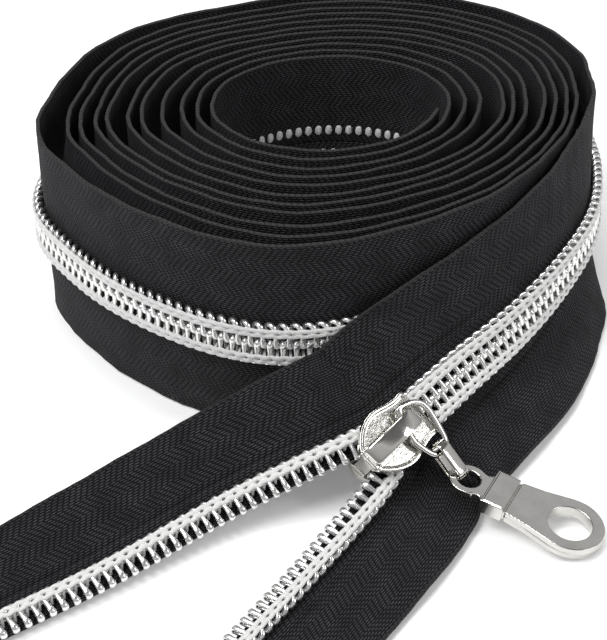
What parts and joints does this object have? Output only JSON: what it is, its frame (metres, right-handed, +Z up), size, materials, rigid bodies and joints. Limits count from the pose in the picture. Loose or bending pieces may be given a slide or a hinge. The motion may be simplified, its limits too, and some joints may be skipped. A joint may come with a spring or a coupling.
{
  "type": "coil zipper",
  "caption": "Flat roll of coil zipper chain whose free end runs off the roll and parts at a slider with a ring, a link and a pull tab.",
  "frame": {"origin": "middle of the footprint, on the table under the zipper", "axes": "+Z up out of the table, -Y towards the open ends, +Y towards the roll"},
  "size_m": [0.1054, 0.1631, 0.032],
  "materials": {
    "tape": "woven polyester, matt",
    "coil": "metallised silver",
    "cord": "knitted cord, matt",
    "thread": "sewing thread, soft sheen",
    "metal": "polished nickel plate on die-cast zinc"
  },
  "bodies": {
    "chain_and_roll": {"roll_upper_tape": "tape", "roll_lower_tape": "tape", "closed_upper_tape": "tape", "closed_lower_tape": "tape", "slider_zone_left_tape": "tape", "slider_zone_right_tape": "tape", "open_left_tape": "tape", "open_right_tape": "tape", "roll_upper_coil": "coil", "roll_lower_coil": "coil", "closed_upper_coil": "coil", "closed_lower_coil": "coil", "slider_zone_left_coil": "coil", "slider_zone_right_coil": "coil", "open_left_coil": "coil", "open_right_coil": "coil", "closed_upper_core_cord": "cord", "closed_lower_core_cord": "cord", "slider_zone_left_core_cord": "cord", "slider_zone_right_core_cord": "cord", "open_left_core_cord": "cord", "open_right_core_cord": "cord", "closed_upper_stitching": "thread", "closed_lower_stitching": "thread", "slider_zone_left_stitching": "thread", "slider_zone_right_stitching": "thread", "open_left_stitching": "thread", "open_right_stitching": "thread"},
    "slider": {"slider_body": "metal", "slider_crown_cap": "metal", "slider_lock_spring": "metal"},
    "ring": {"pull_ring": "metal"},
    "link": {"pull_link": "metal"},
    "tab": {"pull_tab": "metal"}
  },
  "joints": [
    {"name": "slider_travel", "type": "slide", "parent": "chain_and_roll", "child": "slider", "axis": [0.656, 0.7286, 0.1968], "range_m": [-0.002, 0.008], "deforming": ["slider_zone_left_tape", "slider_zone_right_tape", "slider_zone_left_coil", "slider_zone_right_coil", "slider_zone_left_core_cord", "slider_zone_right_core_cord", "slider_zone_left_stitching", "slider_zone_right_stitching"]},
    {"name": "ring_lift", "type": "hinge", "parent": "slider", "child": "ring", "pos_m": [0.017, -0.01621, 0.01093], "axis": [0.4276, -0.5756, -0.697], "range_deg": [0, 80]},
    {"name": "link_swing", "type": "hinge", "parent": "ring", "child": "link", "pos_m": [0.02198, -0.01733, 0.0072], "axis": [-0.7048, -0.7062, -0.0667], "range_deg": [0, 50]},
    {"name": "tab_swing", "type": "hinge", "parent": "link", "child": "tab", "pos_m": [0.02404, -0.01917, 0.00487], "axis": [-0.7368, -0.6734, 0.0609], "range_deg": [0, 60]}
  ]
}
